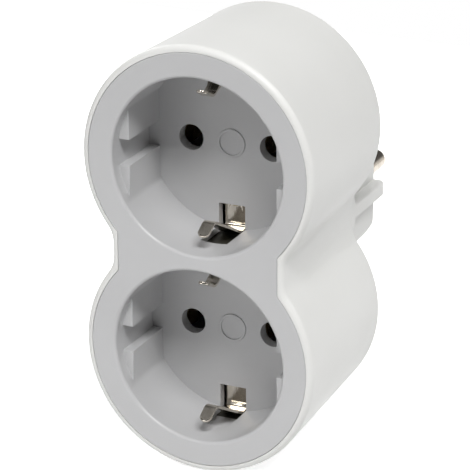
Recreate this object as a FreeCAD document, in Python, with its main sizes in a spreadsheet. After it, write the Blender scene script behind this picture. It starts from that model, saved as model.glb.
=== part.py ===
import FreeCAD, Part
import math
import os
import re
import Sketcher

# Two-way mains adapter: a shell with a round plug on its back and two earthed two-pin sockets in front.
# World frame: origin at the centre of the plug's face, +Y out of the plug, sockets facing -Y, +Z up.
# Every piece is drawn with Y as the depth behind the front face, and is then placed in the world frame.

SIZES = {
    # sockets
    "socket_bridge": 3.5,
    "pin_pitch": 19.0,
    "well_diameter": 39.2,
    "well_depth": 17.85,
    "well_wall": 1.6,
    "well_floor": 2.0,
    "well_web_width": 12.0,
    "mouth_round": 0.8,
    "pin_hole_diameter": 5.76,
    "collar_diameter": 9.0,
    "collar_height": 0.8,
    "rib_rise": 2.6,
    "rib_slot": 5.8,
    "rib_setback": 3.2,
    "ring_diameter": 6.4,
    "ring_width": 0.5,
    "ring_height": 0.25,
    "window_width": 6.2,
    "window_inset": 5.6,
    "window_cut": 1.3,
    "window_front": 8.7,
    # front plate
    "face_width": 5.5,
    "plate_blend": 0.8,
    "plate_thickness": 2.4,
    "plate_round": 0.25,
    "seam_gap": 0.12,
    # shell
    "rim_width": 1.6,
    "waist_flat": 1.65,
    "waist_blend": 6.0,
    "housing_depth": 40.5,
    "shell_draft": 2.16,
    "shell_wall": 2.4,
    "back_wall": 2.0,
    "front_round": 1.3,
    "back_round": 0.5,
    # plug boss
    "boss_length": 18.3,
    "boss_radius": 18.6,
    "boss_draft": 0.8,
    "boss_round": 0.8,
    "flat_half": 16.15,
    "flat_lead": 2.2,
    "flat_round": 1.8,
    "key_reach": 18.5,
    "key_height": 3.8,
    "key_round": 0.7,
    "face_wall": 3.0,
    "core_width": 26.6,
    "core_height": 19.6,
    "core_round": 6.0,
    "groove_width": 8.0,
    "groove_lip": 1.5,
    # plug pins
    "pin_diameter": 4.8,
    "pin_length": 19.0,
    "pin_tip_round": 1.9,
    "pin_root_step": 0.3,
    "pin_play": 0.1,
    "flange_diameter": 6.8,
    "flange_height": 1.4,
    "shank_diameter": 3.6,
    "rivet_head_height": 0.8,
    "rivet_head_step": 0.8,
    # busbars and contact clips
    "busbar_width": 6.0,
    "busbar_thickness": 0.8,
    "busbar_end": 4.0,
    "clip_thickness": 0.5,
    "clip_width": 6.0,
    "clip_base_half": 3.2,
    "clip_grip": 4.4,
    "clip_mouth": 6.4,
    "clip_mouth_gap": 0.4,
    "clip_grip_drop": 3.0,
    "clip_bend": 0.8,
    "clip_tab": 5.5,
    "clip_tab_end": 2.4,
    "rivet_diameter": 2.4,
    # earth strips
    "earth_thickness": 0.6,
    "earth_width": 5.0,
    "earth_bend": 1.0,
    "valley_outset": 0.5,
    "valley_setback": 2.5,
    "valley_bend": 1.5,
    "crest_inset": 5.6,
    "crest_depth": 6.7,
    "crest_bend": 2.2,
    "tongue_inset": 3.4,
    "tongue_depth": 2.8,
    "tongue_width": 2.7,
    "tongue_tip_flat": 0.1,
    "tongue_shoulder": 9.0,
    "shoulder_length": 3.0,
    "link_width": 5.0,
    "link_reach": 4.4,
    "link_flange": 6.2,
    "link_bend": 1.0,
    "strap_thickness": 0.5,
    "strap_width": 6.6,
    "strap_reach": 14.25,
    "strap_bend": 0.8,
    "strap_play": 0.15,
    "sleeve_reach": 10.0,
    "sleeve_bore": 4.9,
    "sleeve_wall": 0.4,
    "sleeve_depth": 16.0,
    "sleeve_setback": 0.4,
    "spigot_diameter": 2.4,
    # case screws
    "screw_inset": 7.1,
    "pillar_diameter": 6.0,
    "tower_diameter": 8.6,
    "tower_height": 3.0,
    "counterbore_diameter": 6.4,
    "counterbore_depth": 3.2,
    "screw_diameter": 2.9,
    "screw_tip_gap": 5.45,
    "screw_point": 0.8,
    "screw_head_diameter": 5.8,
    "screw_head_height": 1.9,
    "screw_play": 0.2,
    "recess_span": 3.2,
    "recess_slot": 0.8,
    "recess_depth": 1.1,
}

# Sizes across the front that follow from the wells
WELL_RADIUS = "well_diameter / 2"
SOCKET_RISE = "(well_diameter + socket_bridge) / 2"
PLATE_LOBE = "well_diameter / 2 + face_width"
LOBE_RADIUS = "well_diameter / 2 + face_width + rim_width"
WAIST_DROP = f"({SOCKET_RISE} - waist_flat)"
WAIST_HALF = f"sqrt(({LOBE_RADIUS} + waist_blend)^2 - {WAIST_DROP}^2) - waist_blend"
PLATE_HALF = f"{WAIST_HALF} - rim_width"

# Depths behind the front face, used by more than one piece
FRONT_REACH = "housing_depth + boss_length"
FLOOR_BACK = "well_depth + well_floor"
BACK_INNER = "housing_depth - back_wall"
BUSBAR_FRONT = BACK_INNER + " - busbar_thickness"
STRAP_FRONT = BACK_INNER + " - strap_thickness"
TOWER_TOP = BACK_INNER + " - tower_height"
BRACKET_BACK = FLOOR_BACK + " + earth_thickness"
LINK_RIVET_RISE = "link_reach + link_flange / 2"

doc = FreeCAD.newDocument("socket_adapter")
sheet = doc.addObject("Spreadsheet::Sheet", "Sizes")
for row, (alias, number) in enumerate(SIZES.items(), start=1):
    sheet.set(f"A{row}", alias)
    sheet.set(f"B{row}", str(number))
    sheet.setAlias(f"B{row}", alias)
doc.recompute()

Vector = FreeCAD.Vector
Constraint = Sketcher.Constraint
UP = Vector(0, 0, 1)
START, END, CENTRE = range(1, 4)
X_AXIS, Y_AXIS = range(-1, -3, -1)
TOLERANCE = 1e-4
subparts = []


def sized(text):
    """An expression in which each size's name points at its cell."""
    return re.sub(r"[a-z_]+", lambda word: "Sizes." + word[0] if word[0] in SIZES else word[0], str(text))


def number(text):
    """The present value of an expression of sizes."""
    return float(sheet.evalExpression(sized(text)))


def bind(thing, prop, text):
    thing.setExpression(prop, sized(text))


def new_body(label, x="0", z="0"):
    """An empty body, placed in the world by its offset across and up."""
    body = doc.addObject("PartDesign::Body", label)
    body.Label = label
    bind(body, "Placement.Base.x", x)
    bind(body, "Placement.Base.y", f"-({FRONT_REACH})")
    bind(body, "Placement.Base.z", z)
    subparts.append(body)
    return body


def new_sketch(body, name, role="XZ_Plane", offset="0"):
    """A sketch on one of the body's own planes. On XZ_Plane the offset is a depth."""
    sketch = body.newObject("Sketcher::SketchObject", name)
    plane = next(item for item in body.Origin.OriginFeatures if item.Role == role)
    sketch.AttachmentSupport = (plane, [""])
    sketch.MapMode = "FlatFace"
    sign = "-" if role == "XZ_Plane" else ""
    bind(sketch, "AttachmentOffset.Base.z", f"{sign}({offset})")
    return sketch


def hold(sketch, kind, text, *ends):
    """A dimension of the sketch that follows an expression."""
    index = sketch.addConstraint(Constraint(kind, *ends, number(text)))
    sketch.setExpression(f"Constraints[{index}]", sized(text))


def hold_point(sketch, item, end, x, y):
    """Fix a point across and up from the sketch's origin."""
    for kind, text, axis in (("DistanceX", x, Y_AXIS), ("DistanceY", y, X_AXIS)):
        if abs(number(text)) < TOLERANCE:
            sketch.addConstraint(Constraint("PointOnObject", item, end, axis))
        else:
            hold(sketch, kind, text, X_AXIS, START, item, end)


def add_circle(sketch, x, y, diameter):
    centre = Vector(number(x), number(y), 0)
    item = sketch.addGeometry(Part.Circle(centre, UP, number(diameter) / 2))
    hold_point(sketch, item, CENTRE, x, y)
    hold(sketch, "Diameter", diameter, item)


def add_arc(sketch, centre, radius, start, end):
    """The shorter arc between two points, and which of its ends lies at the first one."""
    first = math.atan2(start.y - centre.y, start.x - centre.x)
    last = math.atan2(end.y - centre.y, end.x - centre.x)
    forward = (last - first) % (2 * math.pi) < math.pi
    low, high = (first, last) if forward else (last, first)
    high = low + (high - low) % (2 * math.pi)
    item = sketch.addGeometry(Part.ArcOfCircle(Part.Circle(centre, UP, radius), low, high))
    return item, (START, END) if forward else (END, START)


def add_outline(sketch, corners, rounds=None, closed=True):
    """Straight runs through corners given as expressions. The corners in rounds are arcs of that radius."""
    rounds = rounds or {}
    places = [Vector(number(x), number(y), 0) for x, y in corners]
    count = len(places)
    runs = [(k, (k + 1) % count) for k in range(count if closed else count - 1)]
    cut = {}
    for k, text in rounds.items():
        before = (places[k - 1] - places[k]).normalize()
        after = (places[(k + 1) % count] - places[k]).normalize()
        half = before.getAngle(after) / 2
        reach = number(text) / math.tan(half)
        middle = (before + after).normalize() * (number(text) / math.sin(half))
        cut[k] = (places[k] + before * reach, places[k] + after * reach, places[k] + middle)
    lines = {}
    for k, following in runs:
        start = cut[k][1] if k in cut else places[k]
        end = cut[following][0] if following in cut else places[following]
        lines[k] = sketch.addGeometry(Part.LineSegment(start, end))
    for k, (x, y) in enumerate(corners):
        line_in = lines.get(k - 1 if k or not closed else count - 1)
        line_out = lines.get(k)
        if k in cut:
            arc, ends = add_arc(sketch, cut[k][2], number(rounds[k]), cut[k][0], cut[k][1])
            sketch.addConstraint(Constraint("Tangent", arc, ends[0], line_in, END))
            sketch.addConstraint(Constraint("Tangent", arc, ends[1], line_out, START))
            hold(sketch, "Radius", rounds[k], arc)
            point = sketch.addGeometry(Part.Point(places[k]), True)
            sketch.addConstraint(Constraint("PointOnObject", point, START, line_in))
            sketch.addConstraint(Constraint("PointOnObject", point, START, line_out))
            hold_point(sketch, point, START, x, y)
        elif line_in is None:
            hold_point(sketch, line_out, START, x, y)
        elif line_out is None:
            hold_point(sketch, line_in, END, x, y)
        else:
            sketch.addConstraint(Constraint("Coincident", line_in, END, line_out, START))
            hold_point(sketch, line_out, START, x, y)


def add_rectangle(sketch, left, right, low, high, corner=None):
    corners = [(left, low), (right, low), (right, high), (left, high)]
    add_outline(sketch, corners, {k: corner for k in range(4)} if corner else None)


def add_lobes(sketch, radius, half, blend):
    """Outline of two lobes around the socket centres, joined by a straight waist with blended corners."""
    big, side, small, rise = (number(text) for text in (radius, half, blend, SOCKET_RISE))
    drop = math.sqrt((big + small) ** 2 - (side + small) ** 2)
    corner_rise = rise - drop
    share = big / (big + small)
    lobes = {}
    for up in (1, -1):
        centre = Vector(0, up * rise, 0)
        turn = math.atan2(drop, side + small)
        low, high = (-turn, math.pi + turn) if up > 0 else (math.pi - turn, 2 * math.pi + turn)
        lobes[up] = sketch.addGeometry(Part.ArcOfCircle(Part.Circle(centre, UP, big), low, high))
        hold_point(sketch, lobes[up], CENTRE, "0", f"{up} * {SOCKET_RISE}")
        hold(sketch, "Radius", radius, lobes[up])
    for across in (1, -1):
        foot, top = (Vector(across * side, up * corner_rise, 0) for up in (-1, 1))
        waist = sketch.addGeometry(Part.LineSegment(foot, top))
        sketch.addConstraint(Constraint("Vertical", waist))
        hold(sketch, "DistanceX", f"{across} * ({half})", X_AXIS, START, waist, START)
        for up, line_end, place in ((1, END, top), (-1, START, foot)):
            centre = Vector(across * (side + small), up * corner_rise, 0)
            lobe_centre = Vector(0, up * rise, 0)
            touch = lobe_centre + (centre - lobe_centre) * share
            arc, ends = add_arc(sketch, centre, small, place, touch)
            lobe_end = START if across == up else END
            sketch.addConstraint(Constraint("Tangent", arc, ends[0], waist, line_end))
            sketch.addConstraint(Constraint("Tangent", arc, ends[1], lobes[up], lobe_end))
            hold(sketch, "Radius", blend, arc)


def check_change(feature, sign):
    """A pad must add material and a pocket must take some away."""
    doc.recompute()
    base = feature.BaseFeature
    before = base.Shape.Volume if base else 0
    if (feature.Shape.Volume - before) * sign <= 0:
        raise RuntimeError(f"{feature.Label} changes nothing")
    return feature


def pad(sketch, length, backwards=True, draft=None, both=False):
    """Add material from the sketch, towards the back of the adapter unless told otherwise."""
    feature = sketch.getParentGeoFeatureGroup().newObject("PartDesign::Pad", sketch.Name + "_pad")
    feature.Profile = sketch
    bind(feature, "Length", length)
    feature.Reversed = backwards
    feature.Midplane = both
    if draft:
        bind(feature, "TaperAngle", draft)
    return check_change(feature, 1)


def pocket(sketch, length, backwards=True, draft=None, both=False):
    """Cut the sketch away, towards the back of the adapter unless told otherwise."""
    feature = sketch.getParentGeoFeatureGroup().newObject("PartDesign::Pocket", sketch.Name + "_pocket")
    feature.Profile = sketch
    bind(feature, "Length", length)
    feature.Reversed = not backwards
    feature.Midplane = both
    if draft:
        bind(feature, "TaperAngle", draft)
    return check_change(feature, -1)


def turned(sketch):
    """A solid of revolution about the depth axis of its body."""
    feature = sketch.getParentGeoFeatureGroup().newObject("PartDesign::Revolution", sketch.Name + "_turned")
    feature.Profile = sketch
    feature.ReferenceAxis = (sketch, ["V_Axis"])
    feature.Angle = 360
    return check_change(feature, 1)


def folded(path, section):
    """A strip that follows its folded middle line."""
    feature = path.getParentGeoFeatureGroup().newObject("PartDesign::AdditivePipe", path.Name + "_folded")
    feature.Profile = section
    feature.Spine = path
    return check_change(feature, 1)


def mirrored(body, role):
    """The whole body together with its reflection in one of its planes."""
    feature = body.newObject("PartDesign::Mirrored", body.Name + "_mirrored")
    feature.TransformMode = "Whole shape"
    plane = next(item for item in body.Origin.OriginFeatures if item.Role == role)
    feature.MirrorPlane = (plane, [""])
    body.Tip = feature
    doc.recompute()
    return feature


def rounded(body, name, radius, wanted):
    """Round the edges of the body's last feature that the test picks."""
    doc.recompute()
    base = body.Tip
    names = [f"Edge{k}" for k, edge in enumerate(base.Shape.Edges, start=1) if wanted(edge)]
    if not names:
        raise RuntimeError(f"{name} finds no edge")
    feature = body.newObject("PartDesign::Fillet", name)
    feature.Base = (base, names)
    bind(feature, "Radius", radius)
    doc.recompute()
    return feature


def lies_at(edge, depth):
    """Whether an edge lies wholly at a depth."""
    box = edge.BoundBox
    return abs(box.YMin - depth) < TOLERANCE and abs(box.YMax - depth) < TOLERANCE


def is_ring(edge, radius):
    """Whether an edge is an arc of a radius."""
    return edge.Curve.TypeId == "Part::GeomCircle" and abs(edge.Curve.Radius - radius) < TOLERANCE


def both_sockets():
    """Heights of the two socket centres, the upper one first."""
    return (SOCKET_RISE, f"-{SOCKET_RISE}")


def screw_places():
    """Places of the four case screws, above the upper socket's middle and below the lower one's."""
    reach = f"({WELL_RADIUS} - screw_inset)"
    return {f"{row}_{side}": (f"{across} * {reach}", f"{up} * ({SOCKET_RISE} + {reach})")
            for row, up in (("upper", 1), ("lower", -1)) for side, across in (("left", -1), ("right", 1))}


def make_housing():
    body = new_body("housing")
    outside = new_sketch(body, "shell_outline")
    add_lobes(outside, LOBE_RADIUS, WAIST_HALF, "waist_blend")
    pad(outside, "housing_depth", draft="-shell_draft")
    depth = number("housing_depth")
    rounded(body, "front_edge", "front_round", lambda edge: lies_at(edge, 0))
    rounded(body, "back_edge", "back_round", lambda edge: lies_at(edge, depth))

    boss = new_sketch(body, "boss_outline", offset=BACK_INNER)
    add_circle(boss, "0", "0", "2 * boss_radius")
    pad(boss, "back_wall + boss_length", draft="-boss_draft")
    reach = number(FRONT_REACH)
    flats = new_sketch(body, "boss_flats", offset="housing_depth + flat_lead")
    keys = new_sketch(body, "guide_keys", offset="housing_depth")
    for across in (1, -1):
        add_rectangle(flats, f"{across} * flat_half", f"{across} * (boss_radius + boss_round)",
                      "-boss_radius", "boss_radius")
        inner, outer = f"{across} * (flat_half - boss_round)", f"{across} * key_reach"
        low, high = "-key_height / 2", "key_height / 2"
        add_outline(keys, [(inner, low), (outer, low), (outer, high), (inner, high)],
                    {1: "key_round", 2: "key_round"})
    pocket(flats, "boss_length")
    start = number("housing_depth + flat_lead")
    side = number("flat_half")
    rounded(body, "flat_root", "flat_round",
            lambda edge: lies_at(edge, start) and abs(abs(edge.CenterOfMass.x) - side) < TOLERANCE)
    pad(keys, "boss_length")
    grooves = new_sketch(body, "earth_grooves", offset="housing_depth")
    seats = new_sketch(body, "strap_seats", offset=BACK_INNER)
    slots = new_sketch(body, "strap_slots", offset=BACK_INNER)
    for up in (1, -1):
        add_rectangle(grooves, "-groove_width / 2", "groove_width / 2",
                      f"{up} * strap_reach", f"{up} * (boss_radius + boss_round)")
        add_rectangle(seats, "-(strap_width / 2 + strap_play)", "strap_width / 2 + strap_play",
                      f"{up} * (strap_reach - strap_thickness)", f"{up} * (strap_reach + strap_play)")
        add_rectangle(slots, "-(strap_width / 2 + strap_play)", "strap_width / 2 + strap_play",
                      f"{up} * (strap_reach - strap_thickness - strap_bend)",
                      f"{up} * (strap_reach - strap_play)")
    pocket(grooves, "boss_length")
    pocket(seats, "back_wall + boss_length - groove_lip")
    pocket(slots, "back_wall")
    rounded(body, "boss_edge", "boss_round",
            lambda edge: lies_at(edge, reach) and edge.Curve.TypeId == "Part::GeomCircle"
            and edge.Curve.Radius > side)

    seat = new_sketch(body, "plate_seat")
    add_lobes(seat, f"{PLATE_LOBE} + seam_gap", f"{PLATE_HALF} + seam_gap", "plate_blend")
    pocket(seat, "plate_thickness")
    cavity = new_sketch(body, "cavity")
    add_lobes(cavity, f"{LOBE_RADIUS} - shell_wall", f"{WAIST_HALF} - shell_wall",
              "waist_blend + shell_wall")
    pocket(cavity, BACK_INNER, draft="-shell_draft")

    towers = new_sketch(body, "screw_towers", offset=TOWER_TOP)
    bores = new_sketch(body, "screw_bores", offset=TOWER_TOP)
    heads = new_sketch(body, "screw_counterbores", offset="housing_depth - counterbore_depth")
    for x, z in screw_places().values():
        add_circle(towers, x, z, "tower_diameter")
        add_circle(bores, x, z, "screw_diameter + screw_play")
        add_circle(heads, x, z, "counterbore_diameter")
    pad(towers, "tower_height")
    pocket(bores, "tower_height + back_wall")
    pocket(heads, "counterbore_depth")

    core = new_sketch(body, "boss_core", offset=BACK_INNER)
    add_rectangle(core, "-core_width / 2", "core_width / 2", "-core_height / 2", "core_height / 2",
                  "core_round")
    pocket(core, "back_wall + boss_length - face_wall")
    holes = new_sketch(body, "plug_holes", offset=BACK_INNER)
    for across in (1, -1):
        add_circle(holes, f"{across} * pin_pitch / 2", "0", "pin_diameter + 2 * pin_root_step + pin_play")
    add_circle(holes, "0", "sleeve_reach", "sleeve_bore + 2 * sleeve_wall + pin_play")
    pocket(holes, "back_wall + boss_length")


def make_socket_insert():
    """The front plate with a tube for each well, open at the back."""
    body = new_body("socket_insert")
    plate = new_sketch(body, "plate_outline")
    add_lobes(plate, PLATE_LOBE, PLATE_HALF, "plate_blend")
    pad(plate, "plate_thickness")
    rounded(body, "plate_edge", "plate_round", lambda edge: lies_at(edge, 0))

    tubes = new_sketch(body, "tubes")
    wells = new_sketch(body, "wells")
    recesses = new_sketch(body, "clip_recesses", offset="window_front")
    ribs = new_sketch(body, "guide_ribs", offset="rib_setback")
    for z in both_sockets():
        add_circle(tubes, "0", z, "well_diameter + 2 * well_wall")
        add_circle(wells, "0", z, "well_diameter")
        for across in (1, -1):
            for up in (1, -1):
                add_guide_rib(ribs, across, up, z)
    add_windows(recesses)
    pad(tubes, "well_depth")
    add_well_web(body, "0", "well_depth")
    pocket(wells, "well_depth")
    pad(ribs, "well_depth - rib_setback")
    pocket(recesses, "well_depth - window_front")
    mouth = number(WELL_RADIUS)
    rounded(body, "mouths", "mouth_round", lambda edge: lies_at(edge, 0) and is_ring(edge, mouth))


def make_socket_base():
    """The floor of both wells, with the pin holes, the clips' windows and the pillars for the screws."""
    body = new_body("socket_base")
    floors = new_sketch(body, "floors", offset="well_depth")
    collars = new_sketch(body, "collars", offset="well_depth")
    holes = new_sketch(body, "pin_holes", offset="well_depth")
    windows = new_sketch(body, "windows", offset="well_depth")
    rings = new_sketch(body, "rings", offset="well_depth - ring_height")
    for z in both_sockets():
        add_circle(floors, "0", z, "well_diameter + 2 * well_wall")
        add_circle(rings, "0", z, "ring_diameter")
        add_circle(rings, "0", z, "ring_diameter - 2 * ring_width")
        for across in (1, -1):
            add_circle(collars, f"{across} * pin_pitch / 2", z, "collar_diameter")
            add_circle(holes, f"{across} * pin_pitch / 2", z, "pin_hole_diameter")
    add_windows(windows)
    pad(floors, "well_floor")
    add_well_web(body, "well_depth", "well_floor")
    pad(collars, "well_floor + collar_height")
    pocket(windows, "well_floor")
    pocket(holes, "well_floor + collar_height")
    pad(rings, "ring_height + well_floor / 2")

    pillars = new_sketch(body, "pillars", offset="well_depth + well_floor / 2")
    cores = new_sketch(body, "pillar_cores", offset=FLOOR_BACK)
    for x, z in screw_places().values():
        add_circle(pillars, x, z, "pillar_diameter")
        add_circle(cores, x, z, "screw_diameter")
    pad(pillars, f"{TOWER_TOP} - well_depth - well_floor / 2")
    pocket(cores, f"{TOWER_TOP} - ({FLOOR_BACK})")


def add_windows(sketch):
    """The openings for the earth clips, at the top and the bottom of each well."""
    for z in both_sockets():
        for up in (1, -1):
            near, far = f"({WELL_RADIUS} - window_inset)", f"({WELL_RADIUS} + window_cut)"
            add_rectangle(sketch, "-window_width / 2", "window_width / 2",
                          f"{z} + {up} * {near}", f"{z} + {up} * {far}")


def add_well_web(body, start, length):
    """The bridge that joins the two wells across the gap between them."""
    web = new_sketch(body, "well_web", offset=start)
    add_rectangle(web, "-well_web_width / 2", "well_web_width / 2",
                  "-socket_bridge / 2", "socket_bridge / 2")
    pad(web, length)


def add_guide_rib(sketch, across, up, z):
    """One half of a guide rib: flat towards the plug, square at the slot, merged into the well's wall."""
    inner, slot = number(f"{WELL_RADIUS} - rib_rise"), number("rib_slot / 2")
    height = number(z)
    radius = number("well_diameter / 2 + well_wall / 2")
    corner = Vector(across * inner, height + up * slot, 0)
    foot = Vector(across * math.sqrt(radius ** 2 - slot ** 2), height + up * slot, 0)
    top = Vector(across * inner, height + up * math.sqrt(radius ** 2 - inner ** 2), 0)
    bottom = sketch.addGeometry(Part.LineSegment(corner, foot))
    flat = sketch.addGeometry(Part.LineSegment(top, corner))
    arc, ends = add_arc(sketch, Vector(0, height, 0), radius, foot, top)
    sketch.addConstraint(Constraint("Coincident", bottom, END, arc, ends[0]))
    sketch.addConstraint(Constraint("Coincident", arc, ends[1], flat, START))
    sketch.addConstraint(Constraint("Coincident", flat, END, bottom, START))
    sketch.addConstraint(Constraint("Horizontal", bottom))
    sketch.addConstraint(Constraint("Vertical", flat))
    hold_point(sketch, bottom, START, f"{across} * ({WELL_RADIUS} - rib_rise)", f"{z} + {up} * rib_slot / 2")
    hold_point(sketch, arc, CENTRE, "0", z)
    hold(sketch, "Radius", "well_diameter / 2 + well_wall / 2", arc)


def make_plug_pin(side, across):
    body = new_body(f"plug_pin_{side}", x=f"{across} * pin_pitch / 2")
    profile = new_sketch(body, "profile", role="XY_Plane")
    face_inner = f"{FRONT_REACH} - face_wall"
    tip = f"{FRONT_REACH} + pin_length"
    head = f"{BUSBAR_FRONT} - rivet_head_height"
    head_radius = "shank_diameter / 2 + rivet_head_step"
    root = "pin_diameter / 2 + pin_root_step"
    flange_back = f"{face_inner} - flange_height"
    corners = [
        ("0", head), (head_radius, head), (head_radius, BUSBAR_FRONT), ("shank_diameter / 2", BUSBAR_FRONT),
        ("shank_diameter / 2", flange_back), ("flange_diameter / 2", flange_back),
        ("flange_diameter / 2", face_inner), (root, face_inner), (root, FRONT_REACH),
        ("pin_diameter / 2", FRONT_REACH), ("pin_diameter / 2", tip), ("0", tip)]
    add_outline(profile, corners, {10: "pin_tip_round"})
    turned(profile)


def make_busbar(side, across):
    body = new_body(f"busbar_{side}", x=f"{across} * pin_pitch / 2")
    outline = new_sketch(body, "strip", offset=BUSBAR_FRONT)
    end = f"({SOCKET_RISE} + busbar_end)"
    add_rectangle(outline, "-busbar_width / 2", "busbar_width / 2", f"-{end}", end)
    pad(outline, "busbar_thickness")
    holes = new_sketch(body, "holes", offset=BUSBAR_FRONT)
    add_circle(holes, "0", "0", "shank_diameter")
    for up in (1, -1):
        add_circle(holes, "0", f"{up} * ({SOCKET_RISE} - clip_tab)", "rivet_diameter")
    pocket(holes, "busbar_thickness")


def make_contact_clip(row, side, across, up):
    """A spring fork: two pinched legs on a base with a riveted tab towards the middle of the adapter."""
    height = f"{up} * {SOCKET_RISE}"
    body = new_body(f"contact_clip_{row}_{side}", x=f"{across} * pin_pitch / 2", z=height)
    middle = f"{BUSBAR_FRONT} - clip_thickness / 2"
    mouth = f"{FLOOR_BACK} + collar_height + clip_mouth_gap"
    path = new_sketch(body, "leg", role="XY_Plane")
    add_outline(path, [("0", middle), ("clip_base_half", middle),
                       ("(clip_grip + clip_thickness) / 2", f"{mouth} + clip_grip_drop"),
                       ("clip_mouth / 2", mouth)],
                {1: "clip_bend", 2: "clip_bend"}, closed=False)
    section = new_sketch(body, "section", role="YZ_Plane")
    add_rectangle(section, f"{middle} - clip_thickness / 2", f"{middle} + clip_thickness / 2",
                  "-clip_width / 2", "clip_width / 2")
    folded(path, section)
    mirrored(body, "YZ_Plane")
    tab = new_sketch(body, "tab", offset=f"{BUSBAR_FRONT} - clip_thickness")
    tab_end = f"{-up} * (clip_tab + clip_tab_end)"
    add_rectangle(tab, "-clip_tab_end", "clip_tab_end", "0", tab_end)
    pad(tab, "clip_thickness")
    hole = new_sketch(body, "rivet_hole", offset=f"{BUSBAR_FRONT} - clip_thickness")
    add_circle(hole, "0", f"{-up} * clip_tab", "rivet_diameter")
    pocket(hole, "clip_thickness")


def make_rivet(label, x, z, head, under_head, tail):
    """A rivet along the depth, with its head in front of or behind its shank."""
    body = new_body(label, x=x, z=z)
    profile = new_sketch(body, "profile", role="XY_Plane")
    wide = "rivet_diameter / 2 + rivet_head_step"
    corners = [("0", head), (f"{wide} - rivet_head_height / 2", head),
               (wide, f"({head} + {under_head}) / 2"), (wide, under_head),
               ("rivet_diameter / 2", under_head), ("rivet_diameter / 2", tail), ("0", tail)]
    add_outline(profile, corners)
    turned(profile)


def make_earth_bracket(row, up):
    """One folded strip behind a well's floor, with a spring clip through each of the two windows."""
    body = new_body(f"earth_bracket_{row}", z=f"{up} * {SOCKET_RISE}")
    middle = f"{FLOOR_BACK} + earth_thickness / 2"
    path = new_sketch(body, "fold", role="YZ_Plane")
    add_outline(path, [(middle, "0"), (middle, WELL_RADIUS),
                       (f"{middle} - valley_setback", f"{WELL_RADIUS} + valley_outset"),
                       ("crest_depth", f"{WELL_RADIUS} - crest_inset"),
                       ("tongue_depth", f"{WELL_RADIUS} - tongue_inset")],
                {1: "earth_bend", 2: "valley_bend", 3: "crest_bend"}, closed=False)
    section = new_sketch(body, "section", role="XY_Plane")
    add_rectangle(section, "-earth_width / 2", "earth_width / 2",
                  f"{middle} - earth_thickness / 2", f"{middle} + earth_thickness / 2")
    folded(path, section)
    trims = new_sketch(body, "tongue_sides", role="XY_Plane")
    for across in (1, -1):
        inner, outer = f"{across} * tongue_width / 2", f"{across} * earth_width"
        add_outline(trims, [(inner, "0"), (outer, "0"), (outer, "tongue_shoulder + shoulder_length"),
                            (f"{across} * earth_width / 2", "tongue_shoulder + shoulder_length"),
                            (inner, "tongue_shoulder")])
    pocket(trims, "well_diameter", both=True)
    thickness, tip = number("earth_thickness"), number("tongue_depth + earth_thickness")
    rounded(body, "tongue_tip", "(tongue_width - tongue_tip_flat) / 2",
            lambda edge: abs(edge.Length - thickness) < TOLERANCE and edge.CenterOfMass.y < tip)
    mirrored(body, "XY_Plane")
    hole = new_sketch(body, "rivet_hole", offset=FLOOR_BACK)
    add_circle(hole, "0", f"{-up} * ({SOCKET_RISE} - ({LINK_RIVET_RISE}))", "rivet_diameter")
    pocket(hole, "earth_thickness")


def make_earth_link():
    """A folded strip from both brackets' webs back to the plug's earth strap."""
    body = new_body("earth_link")
    back, front = f"{STRAP_FRONT} - earth_thickness / 2", f"{BRACKET_BACK} + earth_thickness / 2"
    path = new_sketch(body, "fold", role="YZ_Plane")
    add_outline(path, [(back, "0"), (back, "link_reach"), (front, "link_reach"),
                       (front, "link_reach + link_flange")],
                {1: "link_bend", 2: "link_bend"}, closed=False)
    section = new_sketch(body, "section", role="XY_Plane")
    add_rectangle(section, "-link_width / 2", "link_width / 2",
                  f"{back} - earth_thickness / 2", f"{back} + earth_thickness / 2")
    folded(path, section)
    mirrored(body, "XY_Plane")
    front_holes = new_sketch(body, "front_holes", offset=BRACKET_BACK)
    for up in (1, -1):
        add_circle(front_holes, "0", f"{up} * ({LINK_RIVET_RISE})", "rivet_diameter")
    pocket(front_holes, "earth_thickness")
    back_hole = new_sketch(body, "back_hole", offset=f"{STRAP_FRONT} - earth_thickness")
    add_circle(back_hole, "0", "0", "rivet_diameter")
    pocket(back_hole, "earth_thickness")


def make_plug_earth_strap():
    """A folded strip on the back wall, with a side contact along the top and the bottom of the plug."""
    body = new_body("plug_earth_strap")
    middle = f"{STRAP_FRONT} + strap_thickness / 2"
    side = "strap_reach - strap_thickness / 2"
    path = new_sketch(body, "fold", role="YZ_Plane")
    add_outline(path, [(middle, "0"), (middle, side), (f"{FRONT_REACH} - groove_lip - strap_play", side)],
                {1: "strap_bend"}, closed=False)
    section = new_sketch(body, "section", role="XY_Plane")
    add_rectangle(section, "-strap_width / 2", "strap_width / 2",
                  f"{middle} - strap_thickness / 2", f"{middle} + strap_thickness / 2")
    folded(path, section)
    mirrored(body, "XY_Plane")
    holes = new_sketch(body, "holes", offset=STRAP_FRONT)
    add_circle(holes, "0", "0", "rivet_diameter")
    add_circle(holes, "0", "sleeve_reach", "spigot_diameter")
    pocket(holes, "strap_thickness")


def make_earth_pin_sleeve():
    """A closed tube from the plug's face to the earth strap, riveted through the strap."""
    body = new_body("earth_pin_sleeve", z="sleeve_reach")
    profile = new_sketch(body, "profile", role="XY_Plane")
    outer, bore = "sleeve_bore / 2 + sleeve_wall", "sleeve_bore / 2"
    mouth = f"{FRONT_REACH} - sleeve_setback"
    head = f"{STRAP_FRONT} - rivet_head_height"
    head_radius = "spigot_diameter / 2 + rivet_head_step"
    spigot, floor = "spigot_diameter / 2", f"{mouth} - sleeve_depth"
    corners = [("0", head), (head_radius, head), (head_radius, STRAP_FRONT), (spigot, STRAP_FRONT),
               (spigot, BACK_INNER), (outer, BACK_INNER), (outer, mouth), (bore, mouth),
               (bore, floor), ("0", floor)]
    add_outline(profile, corners)
    turned(profile)


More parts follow.
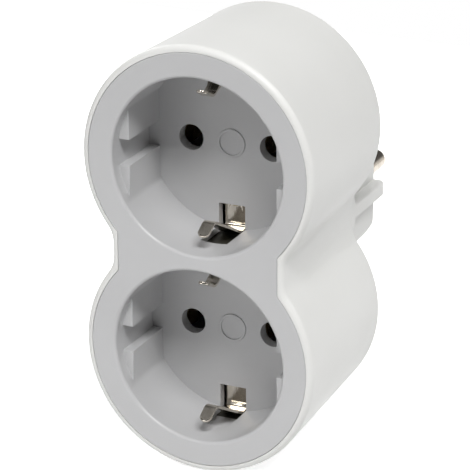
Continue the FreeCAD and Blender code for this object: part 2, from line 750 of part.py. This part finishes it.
def make_case_screw(place, x, z):
    """A round-headed screw from the back, with a cross recess."""
    body = new_body(f"case_screw_{place}", x=x, z=z)
    tip = f"{FLOOR_BACK} + screw_tip_gap"
    seat = "housing_depth - counterbore_depth"
    head = f"{seat} + screw_head_height"
    shank, wide = "screw_diameter / 2", "screw_head_diameter / 2"
    profile = new_sketch(body, "profile", role="XY_Plane")
    corners = [("0", tip), (f"{shank} - screw_point", tip), (shank, f"{tip} + screw_point"), (shank, seat),
               (wide, seat), (wide, f"{seat} + screw_head_height / 2"),
               (f"{wide} - screw_head_height / 2", head), ("0", head)]
    add_outline(profile, corners)
    turned(profile)
    recess = new_sketch(body, "recess", offset=f"{head} - recess_depth")
    span, slot = "recess_span / 2", "recess_slot / 2"
    corners = [(span, slot), (slot, slot), (slot, span),
               (f"-{slot}", span), (f"-{slot}", slot), (f"-{span}", slot),
               (f"-{span}", f"-{slot}"), (f"-{slot}", f"-{slot}"), (f"-{slot}", f"-{span}"),
               (slot, f"-{span}"), (slot, f"-{slot}"), (span, f"-{slot}")]
    add_outline(recess, corners)
    pocket(recess, "recess_depth")


SIDES = (("left", -1), ("right", 1))
ROWS = (("upper", 1), ("lower", -1))

make_housing()
make_socket_insert()
make_socket_base()
for side, across in SIDES:
    make_plug_pin(side, across)
    make_busbar(side, across)
for row, up in ROWS:
    make_earth_bracket(row, up)
    for side, across in SIDES:
        make_contact_clip(row, side, across, up)
        clip_front = f"{BUSBAR_FRONT} - clip_thickness"
        make_rivet(f"clip_rivet_{row}_{side}", f"{across} * pin_pitch / 2",
                   f"{up} * ({SOCKET_RISE} - clip_tab)",
                   f"{clip_front} - rivet_head_height", clip_front, BACK_INNER)
    link_back = f"{BRACKET_BACK} + earth_thickness"
    make_rivet(f"earth_rivet_{row}", "0", f"{up} * ({LINK_RIVET_RISE})",
               f"{link_back} + rivet_head_height", link_back, FLOOR_BACK)
make_earth_link()
make_plug_earth_strap()
link_front = f"{STRAP_FRONT} - earth_thickness"
make_rivet("earth_rivet_back", "0", "0", f"{link_front} - rivet_head_height", link_front, BACK_INNER)
make_earth_pin_sleeve()
for place, (x, z) in screw_places().items():
    make_case_screw(place, x, z)

doc.recompute()
for item in doc.Objects:
    if "Invalid" in item.State or "Error" in item.State:
        raise RuntimeError(f"{item.Label} failed to build")
for body in subparts:
    shape = body.Shape
    if shape.isNull() or not shape.isValid() or len(shape.Solids) != 1:
        raise RuntimeError(f"{body.Label} is not one sound solid")

os.makedirs("parts", exist_ok=True)
for body in subparts:
    body.Shape.exportStep(f"parts/{body.Label}.step")
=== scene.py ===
import bpy
import math
from mathutils import Matrix, Vector


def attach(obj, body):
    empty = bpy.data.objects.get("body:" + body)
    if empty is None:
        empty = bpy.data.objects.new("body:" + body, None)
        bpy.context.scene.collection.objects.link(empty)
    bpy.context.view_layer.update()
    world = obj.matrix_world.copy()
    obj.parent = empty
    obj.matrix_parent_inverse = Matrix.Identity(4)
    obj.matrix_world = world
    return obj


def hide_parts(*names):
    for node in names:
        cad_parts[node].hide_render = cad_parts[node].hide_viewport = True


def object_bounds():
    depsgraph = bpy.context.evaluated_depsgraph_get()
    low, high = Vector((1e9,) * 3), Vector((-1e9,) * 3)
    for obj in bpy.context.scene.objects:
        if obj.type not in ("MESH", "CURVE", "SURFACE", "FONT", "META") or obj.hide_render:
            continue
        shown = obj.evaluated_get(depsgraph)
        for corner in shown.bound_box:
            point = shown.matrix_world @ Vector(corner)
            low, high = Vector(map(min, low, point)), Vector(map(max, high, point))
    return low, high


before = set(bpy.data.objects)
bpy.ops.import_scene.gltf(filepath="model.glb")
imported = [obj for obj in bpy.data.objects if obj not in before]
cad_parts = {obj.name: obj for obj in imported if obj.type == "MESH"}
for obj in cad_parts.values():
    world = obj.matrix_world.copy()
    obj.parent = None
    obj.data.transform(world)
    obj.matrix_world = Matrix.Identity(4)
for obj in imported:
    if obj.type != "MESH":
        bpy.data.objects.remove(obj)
cad_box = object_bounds()

MM = 0.001
BODY = "root"

# Height of each socket's centre, the reach from it past which the front plate's edge lies,
# and how far that edge is moved out to leave a fine seam
SOCKET_CENTRES = (21.35 * MM, -21.35 * MM)
PLATE_REACH = 24.75 * MM
PLATE_GROWTH = 0.07 * MM

# How far the sharp edges of each moulding and strip are broken
HOUSING_EDGE = 0.03 * MM
INSERT_EDGE = 0.10 * MM
BASE_EDGE = 0.08 * MM
CLIP_EDGE = 0.08 * MM

# Mesh of a copy: distance at which points are one, and the angles up to which faces are flat
# and smoothly shaded, and from which an edge is sharp enough to be broken
MERGE_DISTANCE = 0.001 * MM
FLAT_ANGLE = math.radians(0.01)
SMOOTH_ANGLE = math.radians(30.0)
SHARP_ANGLE = math.radians(40.0)

# Moulded plastic: sizes of its flow pattern, of its patches of gloss and of its spark grain,
# the depth of the grain and how far the gloss varies
FLOW_SIZE = 22 * MM
GLOSS_SIZE = 5 * MM
GRAIN_SIZE = 0.22 * MM
GRAIN_DEPTH = 0.02 * MM
GLOSS_SPREAD = 0.025

# Painted shade on the closed bottoms of the earth clips' slots, a dark colour that stands in for
# the shade of slots open into the dark inside: how far the bottoms lie from a socket's centre, how
# far forward the painted shade reaches in the upper and in the lower socket, the width of its soft
# edge, and its colour
SLOT_BOTTOM = 20.75 * MM
SLOT_FRONTS = (-52.0 * MM, -42.9 * MM)
SLOT_FADE = 0.1 * MM
PAINTED_SLOT_SHADE = (0.055, 0.052, 0.04)

# Rolled metal: width of its streaks, size of its tarnish, the streaks' share in the gloss,
# the smoothest and roughest places against the mean, and the depth of fine and of coarse streaks
STREAK_WIDTH = 0.25 * MM
TARNISH_SIZE = 2.5 * MM
STREAK_SHARE = 0.5
SMOOTHEST = 0.7
ROUGHEST = 1.5
FINE_STREAKS = 0.0025 * MM
COARSE_STREAKS = 0.03 * MM

# Camera at the photograph's angle, turned and raised about its target. Degrees, metres, and
# millimetres for the lens and the sensor
CAMERA_AZIMUTH = 24.95
CAMERA_ELEVATION = 21.37
CAMERA_ROLL = -0.35
CAMERA_DISTANCE = 0.60288
CAMERA_TARGET = Vector((0.00896, -0.0588, 0.00624))
CAMERA_LENS = 221.6
CAMERA_SENSOR = 36.0
CAMERA_NEAR = 0.01
CAMERA_SHIFT = (0.00015, 0.0175)

# Studio: strength of the even light, how bright and from what height the room is that metal
# mirrors overhead, the table top's size, drop, colour and glow, and the reach of its shadows
AMBIENT = 0.03
ROOM_GLOW = 0.12
ROOM_HEIGHT = 0.2
FLOOR_SIZE = 0.5
FLOOR_DROP = 0.2 * MM
FLOOR_COLOUR = (0.8, 0.8, 0.8)
FLOOR_GLOW = 0.75
SHADOW_NEAR = 0.08
SHADOW_FAR = 0.16

# Place and size of each soft light in metres, its power in watts, and the point that all aim at
LIGHT_AIM = (0.0, -0.03, 0.0)
LIGHTS = {
    "key": ((0.27, -0.58, 0.80), (0.18, 0.18), 4.7),
    "key_right": ((0.50, -0.45, 0.80), (0.25, 0.25), 3.7),
    "right": ((0.80, 0.35, 0.15), (0.5, 0.5), 0.4),
    "overhead": ((0.52, 0.15, 0.80), (0.4, 0.4), 1.8),
    "left_back": ((-0.75, 0.50, 0.40), (0.5, 0.5), 3.2),
    "left": ((-0.35, -0.65, 0.70), (0.3, 0.3), 1.8),
    "low_left": ((-0.6, -0.75, 0.02), (0.4, 0.4), 0.9),
}


class Signal:
    """A socket of a finish, with arithmetic written as expressions."""

    def __init__(self, finish, socket):
        self.finish = finish
        self.socket = socket

    def combine(self, operation, first, second):
        return self.finish.node("ShaderNodeMath", {"operation": operation}, {0: first, 1: second})

    def at_least(self, other):
        return self.combine("MAXIMUM", self, other)

    def __abs__(self):
        return self.finish.node("ShaderNodeMath", {"operation": "ABSOLUTE"}, {0: self})

    def __add__(self, other):
        return self.combine("ADD", self, other)

    def __radd__(self, other):
        return self.combine("ADD", other, self)

    def __sub__(self, other):
        return self.combine("SUBTRACT", self, other)

    def __rsub__(self, other):
        return self.combine("SUBTRACT", other, self)

    def __mul__(self, other):
        return self.combine("MULTIPLY", self, other)

    def __rmul__(self, other):
        return self.combine("MULTIPLY", other, self)


class Finish:
    """The tree of nodes of a material or of the world."""

    def __init__(self, owner):
        self.owner = owner
        self.owner.use_nodes = True
        self.tree = self.owner.node_tree
        self.tree.nodes.clear()

    def node(self, kind, settings=None, inputs=None, output=0):
        """One node with its settings, then its sockets' values or links. Gives one output."""
        made = self.tree.nodes.new(kind)
        for key, value in (settings or {}).items():
            setattr(made, key, value)
        for key, value in (inputs or {}).items():
            if isinstance(value, Signal):
                self.tree.links.new(value.socket, made.inputs[key])
            else:
                made.inputs[key].default_value = value
        return Signal(self, made.outputs[output]) if made.outputs else made

    def noise(self, size, detail, roughness=0.5, stretch=(1.0, 1.0, 1.0)):
        """Soft noise on Object coordinates whose features are about a size across, in metres."""
        raw = self.node("ShaderNodeTexCoord", output="Object")
        scale = tuple(share / size for share in stretch)
        where = self.node("ShaderNodeMapping", {}, {"Vector": raw, "Scale": scale})
        return self.node("ShaderNodeTexNoise", {}, {
            "Vector": where, "Scale": 1.0, "Detail": detail, "Roughness": roughness})

    def span(self, signal, low, high, start=0.3, end=0.7):
        """A signal between start and end spread over low to high."""
        return self.node("ShaderNodeMapRange", {}, {
            "Value": signal, "From Min": start, "From Max": end, "To Min": low, "To Max": high})

    def blend(self, share, first, second):
        """A mix of two colours, each a signal or its red, green and blue."""
        colours = [colour if isinstance(colour, Signal) else (*colour, 1.0)
                   for colour in (first, second)]
        return self.node("ShaderNodeMix", {"data_type": "RGBA"}, {
            "Factor": share, 6: colours[0], 7: colours[1]}, 2)

    def along(self, axis):
        """Place along one axis of the Object coordinates, in metres."""
        raw = self.node("ShaderNodeTexCoord", output="Object")
        return self.node("ShaderNodeSeparateXYZ", {}, {0: raw}, axis)

    def bump(self, height, strength, distance):
        return self.node("ShaderNodeBump", {}, {
            "Height": height, "Strength": strength, "Distance": distance})

    def finish(self, shader):
        """Ends a material with its shader, and gives the material."""
        self.node("ShaderNodeOutputMaterial", {}, {"Surface": shader})
        return self.owner


def slot_shade_mask(finish):
    """Share of painted shade in a colour: one on the bottoms of the earth clips' slots."""
    height = finish.along("Z")
    reach = abs(abs(height) - SOCKET_CENTRES[0])
    front = finish.span(height, SLOT_FRONTS[1], SLOT_FRONTS[0], -SLOT_FADE, SLOT_FADE)
    deep = finish.span(reach, 0.0, 1.0, SLOT_BOTTOM - SLOT_FADE, SLOT_BOTTOM)
    return deep * finish.span(finish.along("Y") - front, 0.0, 1.0, 0.0, SLOT_FADE)


def moulded_plastic(name, colour, shade, roughness, grain, paint_slot_shade=False):
    """Satin moulded plastic: fine spark grain, a faint flow pattern and slightly uneven gloss.

    Where asked, shade is painted dark on the bottoms of the earth clips' slots.
    """
    finish = Finish(bpy.data.materials.new(name))
    flow = finish.noise(FLOW_SIZE, detail=3.0)
    patches = finish.noise(GLOSS_SIZE, detail=4.0, roughness=0.6)
    sparks = finish.noise(GRAIN_SIZE, detail=2.0)
    tone = finish.blend(finish.span(flow, 0.0, 1.0), colour, shade)
    # Painted shade: the slots' closed bottoms are darkened to look like slots open into the unlit
    # inside
    if paint_slot_shade:
        tone = finish.blend(slot_shade_mask(finish), tone, PAINTED_SLOT_SHADE)
    gloss = finish.span(patches, roughness - GLOSS_SPREAD, roughness + GLOSS_SPREAD)
    relief = finish.bump(sparks, grain, GRAIN_DEPTH)
    shader = finish.node("ShaderNodeBsdfPrincipled", {}, {
        "Base Color": tone, "Roughness": gloss, "Normal": relief,
        "IOR": 1.49, "Specular IOR Level": 0.45})
    return finish.finish(shader)


def rolled_metal(name, colour, shade, roughness, streak, depth):
    """Drawn or rolled metal with streaks along its length and a slightly uneven tarnish."""
    finish = Finish(bpy.data.materials.new(name))
    lines = finish.noise(STREAK_WIDTH, detail=3.0, stretch=streak)
    patches = finish.noise(TARNISH_SIZE, detail=4.0, roughness=0.6)
    tone = finish.blend(finish.span(patches, 0.0, 1.0), colour, shade)
    gloss = finish.span(patches + lines * STREAK_SHARE, roughness * SMOOTHEST, roughness * ROUGHEST,
                        0.5, 1.0)
    relief = finish.bump(lines, 1.0, depth)
    shader = finish.node("ShaderNodeBsdfPrincipled", {}, {
        "Base Color": tone, "Metallic": 1.0, "Roughness": gloss, "Normal": relief})
    return finish.finish(shader)


def table_top():
    """Pale table top, white to the camera and in reflections, that takes the adapter's shadow."""
    finish = Finish(bpy.data.materials.new("pale_floor"))
    seen = finish.node("ShaderNodeLightPath", output="Is Camera Ray")
    mirrored = finish.node("ShaderNodeLightPath", output="Is Glossy Ray")
    away = finish.node("ShaderNodeVectorMath", {"operation": "LENGTH"},
                       {0: finish.node("ShaderNodeTexCoord", output="Object")}, "Value")
    white = finish.span(away, FLOOR_GLOW, 1.0, SHADOW_NEAR, SHADOW_FAR)
    flat = finish.node("ShaderNodeBsdfDiffuse", {}, {"Color": (*FLOOR_COLOUR, 1.0)})
    light = finish.node("ShaderNodeEmission", {}, {"Strength": (seen + mirrored) * white})
    return finish.finish(finish.node("ShaderNodeAddShader", {}, {0: flat, 1: light}))


def deselect():
    if bpy.context.object and bpy.context.object.mode != "OBJECT":
        bpy.ops.object.mode_set(mode="OBJECT")
    bpy.ops.object.select_all(action="DESELECT")


def make_active(piece):
    deselect()
    piece.select_set(True)
    bpy.context.view_layer.objects.active = piece


def weigh_normals(piece):
    """Lets the large faces settle the shading of the small rounds beside them."""
    modifier = piece.modifiers.new("large_faces_lead", "WEIGHTED_NORMAL")
    modifier.mode = "FACE_AREA_WITH_ANGLE"
    modifier.keep_sharp = True
    bpy.ops.object.modifier_apply(modifier=modifier.name)


def break_edges(piece, width):
    """Takes the sharpness off every edge of a moulding or a strip."""
    modifier = piece.modifiers.new("broken_edges", "BEVEL")
    modifier.width = width
    modifier.segments = 2
    modifier.limit_method = "ANGLE"
    modifier.angle_limit = SHARP_ANGLE
    modifier.use_clamp_overlap = False
    bpy.ops.object.modifier_apply(modifier=modifier.name)


def narrow_seam(plate):
    """Widens the plate's edge about each socket, so that the seam round it is fine."""
    make_active(plate)
    growth = 1.0 + PLATE_GROWTH / PLATE_REACH
    for centre in SOCKET_CENTRES:
        bpy.ops.object.mode_set(mode="EDIT")
        bpy.ops.mesh.select_all(action="DESELECT")
        bpy.ops.object.mode_set(mode="OBJECT")
        for point in plate.data.vertices:
            reach = math.hypot(point.co.x, point.co.z - centre)
            point.select = point.co.z * centre > 0.0 and reach > PLATE_REACH
        bpy.ops.object.mode_set(mode="EDIT")
        bpy.ops.transform.resize(value=(growth, 1.0, growth),
                                 center_override=(0.0, 0.0, centre))
        bpy.ops.object.mode_set(mode="OBJECT")


def smooth_copy(node, name, material, edge_round):
    """A merged copy of a CAD node, smoothly shaded and with broken edges, that stands for it."""
    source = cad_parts[node]
    piece = source.copy()
    piece.data = source.data.copy()
    piece.name = name
    piece.data.name = name
    piece.parent = None
    for key in list(piece.keys()):
        del piece[key]
    bpy.context.scene.collection.objects.link(piece)
    make_active(piece)
    bpy.ops.object.mode_set(mode="EDIT")
    bpy.ops.mesh.select_all(action="SELECT")
    bpy.ops.mesh.remove_doubles(threshold=MERGE_DISTANCE)
    bpy.ops.mesh.dissolve_limited(angle_limit=FLAT_ANGLE)
    bpy.ops.object.mode_set(mode="OBJECT")
    break_edges(piece, edge_round)
    bpy.ops.object.shade_smooth_by_angle(angle=SMOOTH_ANGLE)
    weigh_normals(piece)
    piece.data.materials.clear()
    piece.data.materials.append(material)
    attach(piece, BODY)
    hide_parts(node)
    return piece


def add_camera():
    azimuth, elevation, roll = (math.radians(angle) for angle in
                                (CAMERA_AZIMUTH, CAMERA_ELEVATION, CAMERA_ROLL))
    back = Vector((math.sin(azimuth) * math.cos(elevation),
                   -math.cos(azimuth) * math.cos(elevation), math.sin(elevation)))
    right = Vector((math.cos(azimuth), math.sin(azimuth), 0.0))
    up = back.cross(right)
    across = right * math.cos(roll) + up * math.sin(roll)
    upright = up * math.cos(roll) - right * math.sin(roll)
    place = CAMERA_TARGET + back * CAMERA_DISTANCE
    data = bpy.data.cameras.new("camera")
    data.sensor_width = CAMERA_SENSOR
    data.lens = CAMERA_LENS
    data.shift_x, data.shift_y = CAMERA_SHIFT
    data.clip_start = CAMERA_NEAR
    camera = bpy.data.objects.new("camera", data)
    turned = Matrix((across, upright, back)).transposed().to_4x4()
    camera.matrix_world = Matrix.Translation(place) @ turned
    bpy.context.scene.collection.objects.link(camera)
    bpy.context.scene.camera = camera


def add_area_light(name, place, size, power):
    data = bpy.data.lights.new(name, "AREA")
    data.shape = "RECTANGLE"
    data.size, data.size_y = size
    data.energy = power
    light = bpy.data.objects.new(name, data)
    direction = Vector(LIGHT_AIM) - Vector(place)
    light.location = place
    light.rotation_euler = direction.to_track_quat("-Z", "Y").to_euler()
    bpy.context.scene.collection.objects.link(light)


def add_backdrop():
    """White to the camera. Metal mirrors it near the ground, and a dimmer room overhead."""
    world = bpy.data.worlds.new("studio")
    bpy.context.scene.world = world
    sky = Finish(world)
    way = sky.node("ShaderNodeTexCoord", output="Generated")
    height = sky.node("ShaderNodeSeparateXYZ", {}, {0: way}, "Z")
    glow = sky.span(height, 1.0, ROOM_GLOW, 0.0, ROOM_HEIGHT)
    seen = sky.node("ShaderNodeLightPath", output="Is Camera Ray")
    mirrored = sky.node("ShaderNodeLightPath", output="Is Glossy Ray")
    passed = sky.node("ShaderNodeLightPath", output="Is Transmission Ray")
    strength = (seen + (mirrored + passed) * glow).at_least(AMBIENT)
    backdrop = sky.node("ShaderNodeBackground", {}, {
        "Color": (1.0, 1.0, 1.0, 1.0), "Strength": strength})
    sky.node("ShaderNodeOutputWorld", {}, {"Surface": backdrop})


def add_studio():
    add_backdrop()
    deselect()
    bpy.ops.mesh.primitive_plane_add(size=FLOOR_SIZE,
                                     location=(0.0, 0.0, cad_box[0][2] - FLOOR_DROP))
    floor = bpy.context.object
    floor.name = "floor"
    floor.data.materials.append(table_top())
    for name, (place, size, power) in LIGHTS.items():
        add_area_light(name, place, size, power)


shell_white = moulded_plastic("shell_white", (0.78, 0.78, 0.76), (0.76, 0.76, 0.74),
                              roughness=0.42, grain=0.12)
# The insert's plastic carries painted shade on the bottoms of its earth clips' slots
insert_grey = moulded_plastic("insert_grey", (0.54, 0.54, 0.545), (0.52, 0.52, 0.525),
                              roughness=0.32, grain=0.10, paint_slot_shade=True)
contact_nickel = rolled_metal("contact_nickel", (0.78, 0.73, 0.65), (0.62, 0.57, 0.49),
                              roughness=0.11, streak=(0.6, 0.04, 0.04), depth=COARSE_STREAKS)
pin_nickel = rolled_metal("pin_nickel", (0.56, 0.51, 0.44), (0.44, 0.39, 0.33),
                          roughness=0.20, streak=(0.05, 1.0, 0.05), depth=FINE_STREAKS)
inner_brass = rolled_metal("inner_brass", (0.50, 0.42, 0.29), (0.42, 0.35, 0.23),
                           roughness=0.30, streak=(1.0, 1.0, 0.08), depth=FINE_STREAKS)
screw_zinc = rolled_metal("screw_zinc", (0.64, 0.66, 0.68), (0.55, 0.56, 0.58),
                          roughness=0.35, streak=(1.0, 0.1, 1.0), depth=FINE_STREAKS)

smooth_copy("housing", "housing_shell", shell_white, HOUSING_EDGE)
insert = smooth_copy("socket_insert", "insert_moulding", insert_grey, INSERT_EDGE)
narrow_seam(insert)
smooth_copy("socket_base", "well_floors", insert_grey, BASE_EDGE)
for row in ("upper", "lower"):
    smooth_copy(f"earth_bracket_{row}", f"earth_clips_{row}", contact_nickel,
                CLIP_EDGE)

# Every other piece by how its name starts, and the rest of the inner metal brass
finishes = {"plug_pin": pin_nickel, "earth_pin_sleeve": contact_nickel,
            "plug_earth_strap": contact_nickel, "case_screw": screw_zinc}
for name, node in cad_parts.items():
    material = next((finish for start, finish in finishes.items() if name.startswith(start)),
                    inner_brass)
    node.data.materials.clear()
    node.data.materials.append(material)

add_camera()
add_studio()
bpy.context.scene.view_settings.view_transform = "Standard"
